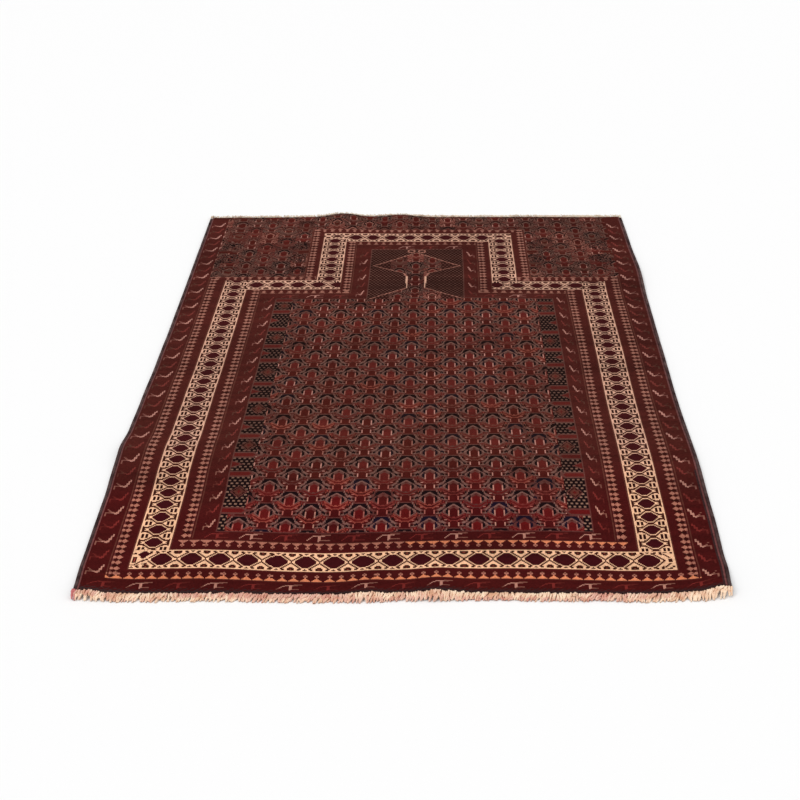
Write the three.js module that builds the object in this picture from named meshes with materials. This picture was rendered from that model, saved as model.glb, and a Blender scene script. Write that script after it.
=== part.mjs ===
// A flat-laid hand-knotted prayer rug: one thick woven sheet, an overcast selvedge cord
// down each side, and a fringe of warp ends at the near and the far end.
// Millimetres, +X to the right, +Y towards the end with the niche, +Z up, floor at z = 0.
import * as THREE from "three";

// Driving dimensions
const PILE_WIDTH = 888;
const PILE_LENGTH = 1344;
const THICKNESS = 7;
const GAP = 0.3;
const SELVEDGE_WIDTH = 9.5;
const SELVEDGE_HEIGHT = 6;
const STRIP_DEPTH = 4;
const STRIP_HEIGHT = 2.6;
const STRAND_WIDTH = 2.6;
const STRAND_HEIGHT = 2;
const STRAND_TIP_SHARE = 0.55;
const STRAND_TIP_HEIGHT = 1.2;
const STRAND_KNEE = 0.45;
const STRAND_SWING = 0.12;
const LIFT_RUN = 12;
const SHEET_COLUMNS = 32;
const SHEET_ROWS = 44;
const LEAST_LIFT = 0.25;

const HALF_WIDTH = PILE_WIDTH / 2;
const HALF_LENGTH = PILE_LENGTH / 2;

// Where the rug doesn't lie quite flat: the middle of each ripple, how far it reaches, and its height.
const RIPPLES = [
  { x: 49, y: -HALF_LENGTH, reachX: 34, reachY: 70, height: 5.8 },
  { x: -47, y: -HALF_LENGTH, reachX: 28, reachY: 55, height: 3.4 },
  { x: HALF_WIDTH, y: -HALF_LENGTH, reachX: 36, reachY: 48, height: 8 },
  { x: -HALF_WIDTH, y: -HALF_LENGTH, reachX: 46, reachY: 44, height: 4.8 },
  { x: -HALF_WIDTH, y: -294, reachX: 52, reachY: 46, height: 5.5 },
  { x: HALF_WIDTH, y: 378, reachX: 48, reachY: 88, height: 4 },
  { x: HALF_WIDTH, y: -350, reachX: 44, reachY: 80, height: 2.8 },
  { x: -157, y: HALF_LENGTH, reachX: 40, reachY: 62, height: 8.5 },
  { x: -33, y: HALF_LENGTH, reachX: 46, reachY: 48, height: 5.5 },
  { x: 120, y: 250, reachX: 150, reachY: 40, height: 2.2 },
  { x: -170, y: -120, reachX: 120, reachY: 46, height: 2 },
];

// How far the woven edge strays outwards from a straight line, along each side and each end.
const LEFT_EDGE = [
  { at: -672, out: -1 },
  { at: -600, out: 3 },
  { at: -440, out: 4 },
  { at: -350, out: 7 },
  { at: -300, out: 7 },
  { at: -240, out: 4 },
  { at: -130, out: 2 },
  { at: 0, out: -1 },
  { at: 170, out: -3 },
  { at: 400, out: -4 },
  { at: 672, out: -5 },
];
const RIGHT_EDGE = [
  { at: -672, out: -6 },
  { at: -610, out: -2 },
  { at: -480, out: 1 },
  { at: -340, out: 2 },
  { at: -130, out: -1 },
  { at: 60, out: 0 },
  { at: 260, out: 1 },
  { at: 380, out: 3 },
  { at: 540, out: 0 },
  { at: 672, out: -2 },
];
const NEAR_END = [
  { at: -444, out: -2 },
  { at: -400, out: 2 },
  { at: -240, out: 1 },
  { at: -150, out: 4 },
  { at: -90, out: 4 },
  { at: 0, out: 2 },
  { at: 120, out: 1 },
  { at: 330, out: 4 },
  { at: 410, out: 1 },
  { at: 444, out: -4 },
];
const FAR_END = [
  { at: -444, out: 6 },
  { at: -157, out: 6 },
  { at: -30, out: 2 },
  { at: 200, out: -3 },
  { at: 444, out: -8 },
];

// The two fringes: which end, how many strands, and their shortest and longest length.
const FRINGES = [
  { name: "fringe_near", side: -1, strands: 110, shortest: 11, longest: 17, seed: 7 },
  { name: "fringe_far", side: 1, strands: 96, shortest: 8, longest: 13, seed: 19 },
];

// Height of the underside above the floor at a point of the sheet.
function liftAt(x, y) {
  let lift = -LEAST_LIFT;
  for (const ripple of RIPPLES) {
    const across = (x - ripple.x) / ripple.reachX;
    const along = (y - ripple.y) / ripple.reachY;
    lift += ripple.height * Math.exp(-across * across - along * along);
  }
  return Math.max(0, lift);
}

// A table's value between its rows, eased so that the edge has no corners.
function eased(table, at) {
  const last = table.length - 1;
  if (at <= table[0].at) return table[0].out;
  if (at >= table[last].at) return table[last].out;
  const next = table.findIndex((row) => row.at >= at);
  const a = table[next - 1];
  const b = table[next];
  const share = THREE.MathUtils.smoothstep(at, a.at, b.at);
  return THREE.MathUtils.lerp(a.out, b.out, share);
}

// Where a point of the straight weave lies on the floor; across and along run from -1 to 1.
function placed(across, along) {
  const x = across * HALF_WIDTH;
  const y = along * HALF_LENGTH;
  const side = across < 0 ? -eased(LEFT_EDGE, y) : eased(RIGHT_EDGE, y);
  const end = along < 0 ? -eased(NEAR_END, x) : eased(FAR_END, x);
  return new THREE.Vector2(x + side * Math.abs(across), y + end * Math.abs(along));
}

// A closed geometry from shared points and triangles.
function solidFrom(points, triangles) {
  const geometry = new THREE.BufferGeometry();
  const positions = points.flatMap((p) => [p.x, p.y, p.z]);
  geometry.setAttribute("position", new THREE.Float32BufferAttribute(positions, 3));
  geometry.setIndex(triangles);
  return geometry;
}

// The woven sheet: a grid of points above and one below, with walls round the rim.
function sheetGeometry() {
  const points = [];
  const triangles = [];
  const rowLength = SHEET_COLUMNS + 1;
  const layer = rowLength * (SHEET_ROWS + 1);
  for (const height of [0, THICKNESS]) {
    for (let j = 0; j <= SHEET_ROWS; j++) {
      for (let i = 0; i <= SHEET_COLUMNS; i++) {
        const across = (2 * i) / SHEET_COLUMNS - 1;
        const along = (2 * j) / SHEET_ROWS - 1;
        const spot = placed(across, along);
        const lift = liftAt(across * HALF_WIDTH, along * HALF_LENGTH);
        points.push(new THREE.Vector3(spot.x, spot.y, lift + height));
      }
    }
  }
  for (let j = 0; j < SHEET_ROWS; j++) {
    for (let i = 0; i < SHEET_COLUMNS; i++) {
      const a = j * rowLength + i;
      const b = a + 1;
      const c = a + rowLength + 1;
      const d = a + rowLength;
      triangles.push(a, c, b, a, d, c);
      triangles.push(a + layer, b + layer, c + layer, a + layer, c + layer, d + layer);
    }
  }
  const wall = (from, to) => {
    triangles.push(from, to, to + layer, from, to + layer, from + layer);
  };
  const lastRow = SHEET_ROWS * rowLength;
  for (let i = 0; i < SHEET_COLUMNS; i++) {
    wall(i, i + 1);
    wall(lastRow + i + 1, lastRow + i);
  }
  for (let j = 0; j < SHEET_ROWS; j++) {
    wall((j + 1) * rowLength, j * rowLength);
    wall(j * rowLength + SHEET_COLUMNS, (j + 1) * rowLength + SHEET_COLUMNS);
  }
  return solidFrom(points, triangles);
}

// A closed bar through a row of rings, each ring going round the same way.
function barGeometry(rings) {
  const sides = rings[0].length;
  const triangles = [];
  for (let k = 0; k < rings.length - 1; k++) {
    for (let s = 0; s < sides; s++) {
      const a = k * sides + s;
      const b = k * sides + ((s + 1) % sides);
      triangles.push(a, b, b + sides, a, b + sides, a + sides);
    }
  }
  const last = (rings.length - 1) * sides;
  for (let s = 1; s < sides - 1; s++) {
    triangles.push(0, s + 1, s);
    triangles.push(last, last + s, last + s + 1);
  }
  return solidFrom(rings.flat(), triangles);
}

// One selvedge: a flat-bottomed oval bar beside the sheet; side is -1 on the left, 1 on the right.
function selvedgeGeometry(side) {
  const middle = GAP + SELVEDGE_WIDTH / 2;
  const oval = [
    { out: -SELVEDGE_WIDTH / 4, up: 0 },
    { out: SELVEDGE_WIDTH / 4, up: 0 },
    { out: SELVEDGE_WIDTH / 2, up: SELVEDGE_HEIGHT / 2 },
    { out: SELVEDGE_WIDTH / 4, up: SELVEDGE_HEIGHT },
    { out: -SELVEDGE_WIDTH / 4, up: SELVEDGE_HEIGHT },
    { out: -SELVEDGE_WIDTH / 2, up: SELVEDGE_HEIGHT / 2 },
  ];
  const rings = [];
  for (let j = 0; j <= SHEET_ROWS; j++) {
    const along = (2 * j) / SHEET_ROWS - 1;
    const edge = placed(side, along);
    const lift = liftAt(side * HALF_WIDTH, along * HALF_LENGTH);
    const ring = oval.map((p) => {
      return new THREE.Vector3(edge.x + side * (middle + p.out), edge.y, lift + p.up);
    });
    rings.push(side > 0 ? ring.reverse() : ring);
  }
  return barGeometry(rings);
}

// A small repeatable source of numbers from 0 to 1.
function repeatable(seed) {
  let state = seed;
  return () => {
    state = (state * 1664525 + 1013904223) % 4294967296;
    return state / 4294967296;
  };
}

// A closed plate over a plan outline that goes round counter-clockwise; each point has its
// own low and high level, so that the plate follows the floor and the lifted edge.
function plateGeometry(outline) {
  const contour = outline.map((p) => new THREE.Vector2(p.x, p.y));
  const faces = THREE.ShapeUtils.triangulateShape(contour, []);
  const count = outline.length;
  const points = [
    ...outline.map((p) => new THREE.Vector3(p.x, p.y, p.low)),
    ...outline.map((p) => new THREE.Vector3(p.x, p.y, p.high)),
  ];
  const triangles = [];
  for (const [a, b, c] of faces) {
    triangles.push(a, c, b);
    triangles.push(a + count, b + count, c + count);
  }
  for (let i = 0; i < count; i++) {
    const j = (i + 1) % count;
    triangles.push(i, j, j + count, i, j + count, i + count);
  }
  return solidFrom(points, triangles);
}

// A point of a fringe: across the sheet, out from the cloth's end, moved aside, and its thickness.
// Its underside comes down from the lifted edge to the floor over the length of a strand.
function fringePoint(side, across, out, aside, height) {
  const edge = placed(across, side);
  const rootLift = liftAt(across * HALF_WIDTH, side * HALF_LENGTH);
  const share = Math.min(1, Math.max(0, out - STRIP_DEPTH) / LIFT_RUN);
  const low = rootLift * (1 - share);
  const y = edge.y + side * (GAP + out);
  return { x: edge.x + aside, y, low, high: low + height };
}

// One strand's plan, from one side of its root round its tip to the other side of its root.
function strandPoints(side, across, length, swing) {
  const half = STRAND_WIDTH / 2;
  const knee = length * STRAND_KNEE;
  const kneeAside = swing * knee * STRAND_KNEE;
  const tipHalf = half * STRAND_TIP_SHARE;
  const out = STRIP_DEPTH;
  return [
    fringePoint(side, across, out, -half, STRAND_HEIGHT),
    fringePoint(side, across, out + knee, kneeAside - half, STRAND_HEIGHT),
    fringePoint(side, across, out + length, swing * length - tipHalf, STRAND_TIP_HEIGHT),
    fringePoint(side, across, out + length, swing * length + tipHalf, STRAND_TIP_HEIGHT),
    fringePoint(side, across, out + knee, kneeAside + half, STRAND_HEIGHT),
    fringePoint(side, across, out, half, STRAND_HEIGHT),
  ];
}

// A fringe: a narrow woven strip along the sheet's end, with the warp ends as its teeth.
function fringeGeometry({ side, strands, shortest, longest, seed }) {
  const random = repeatable(seed);
  const outline = [];
  for (let i = 0; i <= SHEET_COLUMNS; i++) {
    const across = 1 - (2 * i) / SHEET_COLUMNS;
    outline.push(fringePoint(side, across, 0, 0, STRIP_HEIGHT));
  }
  outline.push(fringePoint(side, -1, STRIP_DEPTH, 0, STRIP_HEIGHT));
  for (let n = 0; n < strands; n++) {
    const across = (2 * (n + 0.5)) / strands - 1;
    const length = THREE.MathUtils.lerp(shortest, longest, random());
    const swing = STRAND_SWING * (2 * random() - 1);
    outline.push(...strandPoints(side, across, length, swing));
  }
  outline.push(fringePoint(side, 1, STRIP_DEPTH, 0, STRIP_HEIGHT));
  return plateGeometry(side > 0 ? outline.reverse() : outline);
}

// Materials
const wool = new THREE.MeshStandardMaterial({ color: 0x4a1a1c, roughness: 0.95, metalness: 0 });
const goatHair = new THREE.MeshStandardMaterial({ color: 0x2a2427, roughness: 0.9, metalness: 0 });
const warp = new THREE.MeshStandardMaterial({ color: 0xe8d3b4, roughness: 0.95, metalness: 0 });

function named(name, geometry, material) {
  const mesh = new THREE.Mesh(geometry, material);
  mesh.name = name;
  return mesh;
}

// The rug, with the origin on the floor under the middle of its outline.
const rug = new THREE.Group();
rug.add(named("rug_body", sheetGeometry(), wool));
rug.add(named("selvedge_left", selvedgeGeometry(-1), goatHair));
rug.add(named("selvedge_right", selvedgeGeometry(1), goatHair));
for (const fringe of FRINGES) {
  rug.add(named(fringe.name, fringeGeometry(fringe), warp));
}
const outline = new THREE.Box3().setFromObject(rug, true);
const middle = outline.getCenter(new THREE.Vector3());
rug.position.set(-middle.x, -middle.y, 0);

export default rug;
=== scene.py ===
# A flat-laid hand-knotted prayer rug, knot by knot: wool pile on a woven foundation, an
# overcast goat-hair selvedge down each side, and a fringe of two-ply warp ends at both ends.
import math
from collections import namedtuple

import bpy
import numpy as np
from mathutils import Matrix, Vector


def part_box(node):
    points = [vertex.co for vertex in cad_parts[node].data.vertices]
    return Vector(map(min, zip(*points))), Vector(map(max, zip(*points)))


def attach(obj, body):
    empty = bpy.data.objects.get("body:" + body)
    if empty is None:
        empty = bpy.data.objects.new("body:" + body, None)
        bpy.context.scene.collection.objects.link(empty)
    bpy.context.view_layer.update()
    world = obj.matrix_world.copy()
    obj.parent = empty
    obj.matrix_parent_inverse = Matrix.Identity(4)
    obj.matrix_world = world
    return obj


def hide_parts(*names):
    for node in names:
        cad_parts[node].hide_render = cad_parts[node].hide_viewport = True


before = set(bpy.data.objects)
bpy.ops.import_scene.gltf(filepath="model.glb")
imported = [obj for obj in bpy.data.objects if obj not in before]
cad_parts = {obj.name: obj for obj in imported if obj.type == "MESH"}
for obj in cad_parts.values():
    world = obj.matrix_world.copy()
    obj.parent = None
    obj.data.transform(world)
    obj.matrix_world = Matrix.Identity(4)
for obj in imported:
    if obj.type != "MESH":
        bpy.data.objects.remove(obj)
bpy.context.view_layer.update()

MM = 0.001

# The weave: knots across and along, counted from the left side and from the near end
COLUMNS = 444
ROWS = 672
KNOT = 2.0 * MM
HALF_WIDTH = COLUMNS * KNOT / 2
HALF_LENGTH = ROWS * KNOT / 2
THICKNESS = 7 * MM
FOUNDATION = 2.2 * MM
GAP = 0.3 * MM
SELVEDGE_WIDTH = 6.5 * MM
SELVEDGE_HEIGHT = 5.6 * MM
# The cloth widens by the first of these, from the second outwards
EDGE_SPREAD = 4 * MM
EDGE_SPREAD_FROM = 414 * MM
# Ripples lower than this, in mm, lie flat
LEAST_LIFT = 0.25
PILE_SECTIONS = 4
# Each knot's row and column
KNOTS = np.mgrid[0:ROWS, 0:COLUMNS]

# Where the rug doesn't lie quite flat, in mm: middle x and y, reach in x and y, height
RIPPLES = [
    (49, -672, 34, 70, 5.8),
    (-47, -672, 28, 55, 3.4),
    (444, -672, 36, 48, 8),
    (-444, -672, 46, 44, 4.8),
    (-444, -294, 52, 46, 5.5),
    (444, 378, 48, 88, 4),
    (444, -350, 44, 80, 2.8),
    (-157, 672, 40, 62, 8.5),
    (-33, 672, 46, 48, 5.5),
    (120, 250, 150, 40, 2.2),
    (-170, -120, 120, 46, 2),
]
# How far the woven edge strays outwards, in mm: place along the edge, distance out
LEFT_EDGE = [(-672, -1), (-600, 3), (-440, 4), (-350, 7), (-300, 7), (-240, 4), (-130, 2), (0, -1),
             (170, -3), (400, -4), (672, -5)]
RIGHT_EDGE = [(-672, -6), (-610, -2), (-480, 1), (-340, 2), (-130, -1), (60, 0), (260, 1), (380, 3),
              (540, 0), (672, -2)]
NEAR_END = [(-444, -2), (-400, 2), (-240, 1), (-150, 4), (-90, 4), (0, 2), (120, 1), (330, 4),
            (410, 1), (444, -4)]
FAR_END = [(-444, 6), (-157, 6), (-30, 2), (200, -3), (444, -8)]
# How far the weave has crept to the right, in mm: by row, and its share by column; then the same
# for the right side, where it has crept to the left
DRIFT_BY_ROW = [(0, 0), (336, 5.5), (519, 11.5), (672, 11.5)]
DRIFT_BY_COLUMN = [(0, 0), (15, 0.3), (26, 0.32), (30, 0.78), (55, 0.5), (70, 0.6), (86, 0.85),
                   (360, 0), (444, 0)]
RIGHT_DRIFT_BY_ROW = [(0, -5), (50, -6), (247, -6.5), (350, -7.2), (470, -11), (517, -11.7), (575, -10),
                      (640, -7), (672, -6.5)]
RIGHT_DRIFT_BY_COLUMN = [(0, 0), (274, 0), (340, 0.1), (360, 0.5), (376, 0.85), (385, 0.85),
                         (391, 0.55), (416, 0.85), (424, 1), (432, 1), (444, 0)]
# How many knots the near bands have crept to the near end: by row, and its share by column
CREEP_BY_ROW = [(0, 0), (8, 1.9), (16, 2.7), (29, 3.1), (51, 3.1), (64, 3.4), (74, 1.6), (86, 2.2),
                (116, 0), (672, 0)]
CREEP_BY_COLUMN = [(0, 0.4), (30, 0.5), (80, 0.4), (114, 1.0), (166, 1.6), (223, 1.05), (274, 0.75),
                   (324, 0.8), (374, 1.3), (444, 1.3)]
# The same for the right shoulder
SHOULDER_BY_ROW = [(0, 0), (430, 0), (487, 3.5), (508, 6), (517, 4), (570, 1.5), (672, 0)]
SHOULDER_BY_COLUMN = [(0, 0), (300, 0.5), (330, 0.9), (360, 1), (444, 1)]

# The camera that the photograph was taken with, in the weave's own place
CAMERA_SPOT = (50.1 * MM, -2222.1 * MM, 1184.1 * MM)
CAMERA_YAW = -1.763
CAMERA_PITCH = 29.489
CAMERA_ROLL = -1.172
CAMERA_FOCAL_SHARE = 1413.7 / 800
SENSOR = 36

# Yarns: letter used in the charts, colour at the near end and further up, in 0 to 255; the colours
# further up are a later dye lot with painted sheen of the far, grazing view mixed in
YARNS = [
    ("A", (68, 17, 16), (72, 29, 24)),
    ("R", (90, 17, 17), (86, 30, 25)),
    ("D", (70, 14, 14), (70, 24, 18)),
    ("c", (120, 82, 74), (106, 74, 65)),
    ("m", (92, 47, 43), (88, 54, 47)),
    ("K", (24, 9, 13), (27, 12, 11)),
    ("v", (26, 14, 30), (28, 16, 20)),
    ("i", (236, 184, 146), (208, 160, 136)),
    ("o", (134, 60, 50), (120, 62, 50)),
    ("p", (160, 90, 80), (138, 88, 76)),
    ("b", (176, 122, 106), (168, 118, 106)),
    ("a", (126, 78, 66), (116, 72, 64)),
    ("e", (112, 38, 34), (108, 48, 42)),
    ("l", (90, 31, 27), (82, 49, 40)),
    ("q", (114, 42, 39), (93, 53, 44)),
    ("n", (88, 44, 36), (86, 47, 38)),
    ("k", (66, 29, 20), (60, 29, 23)),
    ("j", (56, 24, 16), (58, 27, 20)),
    ("H", (58, 13, 17), (60, 18, 19)),
    ("d", (140, 104, 86), (94, 68, 58)),
    ("t", (214, 128, 90), (180, 118, 96)),
    ("u", (168, 106, 88), (148, 98, 84)),
    ("s", (44, 14, 11), (46, 19, 14)),
    ("w", (112, 66, 64), (100, 64, 62)),
    ("g", (56, 36, 36), (52, 34, 34)),
]
# A chart letter's number; a dot shows what is under it, and x is chosen flower by flower
CLEAR = -1
NUMBERS = {".": CLEAR, "x": len(YARNS), **{entry[0]: n for n, entry in enumerate(YARNS)}}

# Nested outlines of the bands, in knots: a body with a narrower head above its shoulder
Band = namedtuple("Band", "left right bottom shoulder head_left head_right top")
OUTER_LINE = Band(15, 432, 16, 517, 108, 340, 636)
IVORY_OUT = Band(30, 416, 29, 508, 122, 325, 625)
IVORY_IN = Band(55, 391, 51, 487, 147, 300, 604)
GUARD = Band(70, 376, 64, 477, 159, 286, 595)
FIELD = Band(86, 360, 74, 464, 176, 271, 583)

# The ivory band's hexagons: a whole repeat of each chart; then where one starts and how long it is
ALONG_REPEAT = 16
ACROSS_REPEAT = 20
SIDE_HEXAGONS = (52, 16)
NEAR_HEXAGONS = (40.7, 20.3)
LEFT_SHOULDER_HEXAGONS = (52, 20.4)
RIGHT_SHOULDER_HEXAGONS = (314, 20.4)
HEAD_SIDE_HEXAGONS = (503, 15.6)
HEAD_HEXAGONS = (145.5, 19.6)
LEFT_CORNER_HEXAGONS = (125.7, 19.6)
RIGHT_CORNER_HEXAGONS = (301.9, 19.6)
HEAD_CORNER_ROW = 611
NEAR_CORNER_ROW = 34
SHOULDER_INSET = 24

# Teeth: first place and step in knots, and the columns that the near inner row spans
OUTER_TEETH = (27.1, 8.23)
INNER_TEETH = (67.8, 8.15)
INNER_TEETH_SPAN = (60, 385)

# Guard birds: first place and step in knots; side birds draw closer by a little at each step
OUTER_LEFT_BIRDS = (25, 18.34)
OUTER_RIGHT_BIRDS = (20.5, 18.34)
OUTER_NEAR_BIRDS = (5, 26)
INNER_NEAR_BIRDS = (78.5, 24.6)
INNER_SIDE_FIRST = {"left": 81, "right": 79}
INNER_SIDE_STEP = 18.7
INNER_FAR_STEP = 25
SIDE_BIRDS_CLOSER = 0.028

# Flowers: columns from one to the next; then their first row and the rows from one to the next
FLOWER_STEP = 17.5
FIELD_FLOWERS = (92, 33)
SPANDREL_FLOWERS = (552, 30)
HEAD_FLOWERS = (478, 29)

# Dark wool: rows at the near end, speckled rows there, and rows along the right side
DARK_ROWS = 2
SPECKLED_ROWS = 5
RIGHT_DARK_ROWS = 150

# The head panel: its first row, its middle, and its hourglass's half width by row
PANEL_BOTTOM = 463
PANEL_MIDDLE = 223.5
HOURGLASS = [(457, 46), (463, 46), (490, 9), (516, 9.5), (525, 13), (542, 44.5), (574, 0), (575, -9)]
NECK_ROWS = (489, 517)
HEAD_FLOWER_MIDDLES = [206, 223, 240]
# Its two loops: knots from the middle, row and radius
LOOPS = (5.5, 578.5, 3.4)

# The spandrels' side bars: row, and edge with whether they grow from the left
SPANDREL_BAR_ROW = 577
SPANDREL_EDGES = [(16, True), (108, False), (340, True), (431, False)]

# Unevenness of tone: strength, and rows and columns of a soft cell; then strength by knot
TONE_LAYERS = [(0.30, 4, 90), (0.22, 22, 160), (0.16, 30, 30)]
TONE_BY_KNOT = 0.32
RIGHT_SIDE_DARKER = 0.16

# The later colours, a later dye lot with painted sheen of the far view mixed in: first row, rows over
# which they take over, and how uneven their edge is
LATER_LOT_AND_SHEEN_ROW = 95
LATER_LOT_AND_SHEEN_BLEND = 90
LOT_AND_SHEEN_UNEVENNESS = 0.25

# Relief of the pile, in mm
DARK_WOOL_RISE = -0.45
IVORY_RISE = 0.15
PILE_SWELL = 0.35
TUFT_SWELL = 0.16

# Fringes: strands, shortest, longest, thinnest and thickest strand, and rise over the strip
NEAR_FRINGE = [(300, 8.5 * MM, 12.5 * MM, 1.3 * MM, 1.9 * MM, 1.5 * MM),
               (300, 4 * MM, 9 * MM, 1.5 * MM, 2.0 * MM, 4.8 * MM)]
FAR_FRINGE = [(330, 17 * MM, 24 * MM, 0.8 * MM, 1.1 * MM, 4 * MM),
              (300, 15 * MM, 25 * MM, 0.6 * MM, 0.9 * MM, 6.5 * MM)]

# Colours of hair and warp, darker first for the hair and painted shade first for the warp, whose second
# is its painted highlight, and of the stain
HAIR_COLOURS = ((54, 38, 38), (98, 78, 76))
NEAR_WARP_COLOURS = ((220, 170, 138), (252, 224, 196))
FAR_WARP_COLOURS = ((206, 184, 160), (240, 226, 206))
STAIN_COLOUR = (200, 118, 116)

# Rows of the red bars that reach into the field from its sides
LEFT_BARS = [100, 150, 178, 207, 236, 266, 294, 338, 365, 399, 436, 461]
RIGHT_BARS = [98, 147, 174, 204, 230, 258, 285, 326, 355, 390, 430, 453]

# Motif charts, far side first; a half chart runs outwards from its middle
FLOWER_HALF = """
KKKKAclll
KKKKKclxq
cKKKKKcxl
ccKKKKcxs
mccKKKccs
DmccKKKcl
mmmccKmcc
RmmmKcKmc
RRmmKccKm
RRRmKKccK
RRRpKKccK
RRRpKKmcm
RRRpKKmcm
RRRpKKcmq
RRRpKcmqq
RRRpcmqqR
RRRpmqRRq
RRRqqRRqD
qRqqRRqqD
qqRRRqqDs
RRRRqqRDs
RRRqqppDD
qqqqRRDDc
DDqDDDDcc
DDDDDmccc
DDDpmmccK
DDDpDDmKK
DDDpssmKK
DDDpsscKc
DDDpmcccm
DDDDmmmRR
DDDDmRRqR
mmmmmcRqR
"""
IVORY_ACROSS_HALF = """
kiiHHHHHHHH
kkiHHHHHHHH
ikkiHHHHHHH
iikkiHHHHHH
iiikkiHHHHH
iiiikkiHHHH
kkiiikkiHHH
jjkiiikkiii
ojjiijjkiij
jjjiijjiijj
iiiiiiiiiii
"""
IVORY_ALONG_HALF = """
kkiHHHHHH
kkiHHHHHH
kkiHHHHHH
ikkiHHHHH
iikkiHHHH
iiikkiHHH
sssikkiHH
sssikkkii
iiiiikkii
sssiikkij
sssiikkjj
iiiikkkjj
iiiiiiiii
"""
IVORY_CORNER = """
ijjjiiikikii
iiiiiiiiiiii
iiiiiiiHHHii
iiiiiiHHHHHi
ijjiiHHHHHHH
jjjiHHHHHHHH
iiiiHHHHHHHH
iiiiiHHHHHHi
iiiiiiHHHHii
ijjjiiHHHHii
ijojiiiHHiii
ijojiiiiiikk
ijojiiiikkkk
ijojiiikkkii
ijojiikkkiii
ijjjikkiiiii
iiiikkiiiijj
iiikkiiijjjo
"""
IVORY_RIGHT_CORNER = """
iiiiiiiii
ijjjiijji
iiiiiijji
kkiiiiiii
ikkiiiiii
iikkiiiii
iiikkiiii
iiiikkiii
iiiiiiiii
kiiijjjii
kkiijjjii
kkiijjjii
kiiijjjii
iiiiiiiii
iiiikkiii
iiikkiiii
iikkiiiii
ikkiiijji
kkiiiijji
iiiijjiii
iijjjjiii
iiiiiiiii
"""
TEETH_ACROSS = """
...u....
..umu...
..uuu...
...u....
...t....
..ttt...
.ttttt..
ttttttt.
nnnnnnnn
"""
SHORT_TEETH = """
...u....
..uuu...
..uuu...
...u....
..uuu...
.uuuuu..
nnnnnnnn
"""
TEETH_ALONG = """
n.m...u..
n.uu.uuu.
n.uuuuuuu
n.uu.uuu.
n.m...u..
n.mssssss
n.mssss..
n.m...u..
n.uu.uuu.
n.uuuuuuu
n.uu.uuu.
n.m...u..
n.mssssss
"""
OUTER_BIRD = """
............aaaaaa
......bbbbbbaaa...
....bb...bb.......
...b.....bb.......
..b......bb.......
.a.......bb.......
a........bbaaaaa..
.........b........
"""
INNER_BIRD = """
..........aaaaaaa
....bbbbbbbbb....
...b....bb.......
..b.....bb.......
.b......bb.......
b.......bbaaaaaaa
........b........
"""
SIDE_BIRD = """
..........b
..........b
.........bb
.........b.
.........b.
..a.....bb.
...a....bb.
...aa...b..
....aa.bb..
.aaaabbbb..
.a....bb...
.a.........
.a.........
.a.........
"""
SPANDREL_HALF = """
sssscAcAs
ssscAcAsc
csssKAscA
ccsKKcsAc
AccsKscsA
RAccsKscs
RRAccsAsc
RRRAcAcss
RRDcAsccs
RDDcssAcA
DDDpsscAc
DDDpscAcA
DDRpAcAcl
DRRpcAclA
RRRcAclAc
RRcAclAcA
RclclAcAR
clRlAcARR
lRlAcAlRc
RlAlAlRcl
lARAlRclA
ARAlcclAs
RAlcplAsc
DDDpAsscA
DDDpsscAc
DDDpAcccA
DDDcccAAc
mmmcAAccA
mmccsAcAA
"""

# What a flower's yarns may be swapped for
FLOWER_YARNS = {"l": "lmRll", "q": "qqqom", "p": "pppb", "x": "KKml", "R": "RRRRD", "c": "ccccm",
                "K": "KKKv"}
SPANDREL_YARNS = {"l": "lqRm", "p": "ppbc", "R": "RRDl", "c": "cccpm", "s": "sKKD", "A": "AARsK"}


def yarn(letter):
    return NUMBERS[letter]


# A chart as an array of yarn numbers, near row first
def charted(text):
    lines = text.split()[::-1]
    width = max(len(line) for line in lines)
    return np.array([[yarn(letter) for letter in line.ljust(width, ".")] for line in lines])


# A repeat whose left half and lower half are mirrored, from a quarter chart
def mirrored(quarter, rows, columns):
    row, column = np.arange(rows), np.arange(columns)
    row = np.minimum(np.minimum(row, rows - 1 - row), len(quarter) - 1)
    column = np.minimum(np.minimum(column, columns - column), quarter.shape[1] - 1)
    return quarter[row][:, column]


def stamp(chart, motif, row, column, mask=None):
    height, width = motif.shape
    r0, r1 = max(row, 0), min(row + height, ROWS)
    c0, c1 = max(column, 0), min(column + width, COLUMNS)
    if r0 >= r1 or c0 >= c1:
        return
    piece = motif[r0 - row:r1 - row, c0 - column:c1 - column]
    shown = piece != CLEAR
    if mask is not None:
        shown = shown & mask[r0:r1, c0:c1]
    chart[r0:r1, c0:c1][shown] = piece[shown]


def fill(chart, rows, columns, letter):
    chart[rows[0]:rows[1], columns[0]:columns[1]] = yarn(letter)


# A repeat laid side by side to fill a rectangle; phase is where a repeat starts, pitches are how
# many knots a repeat takes here
def tiled(chart, motif, rows, columns, row_phase, column_phase, row_pitch=None, column_pitch=None):
    height, width = motif.shape
    row_pitch = row_pitch or height
    column_pitch = column_pitch or width
    r = ((np.arange(*rows) - row_phase) % row_pitch * height / row_pitch).astype(int)
    c = ((np.arange(*columns) - column_phase) % column_pitch * width / column_pitch).astype(int)
    piece = motif[np.minimum(r, height - 1)][:, np.minimum(c, width - 1)]
    target = chart[rows[0]:rows[1], columns[0]:columns[1]]
    shown = piece != CLEAR
    target[shown] = piece[shown]


# The knots inside a nested outline
def inside(band):
    row, column = KNOTS
    body = (row >= band.bottom) & (row < band.shoulder)
    body &= (column >= band.left) & (column < band.right)
    head = (row >= band.shoulder) & (row < band.top)
    head &= (column >= band.head_left) & (column < band.head_right)
    return body | head


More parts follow.
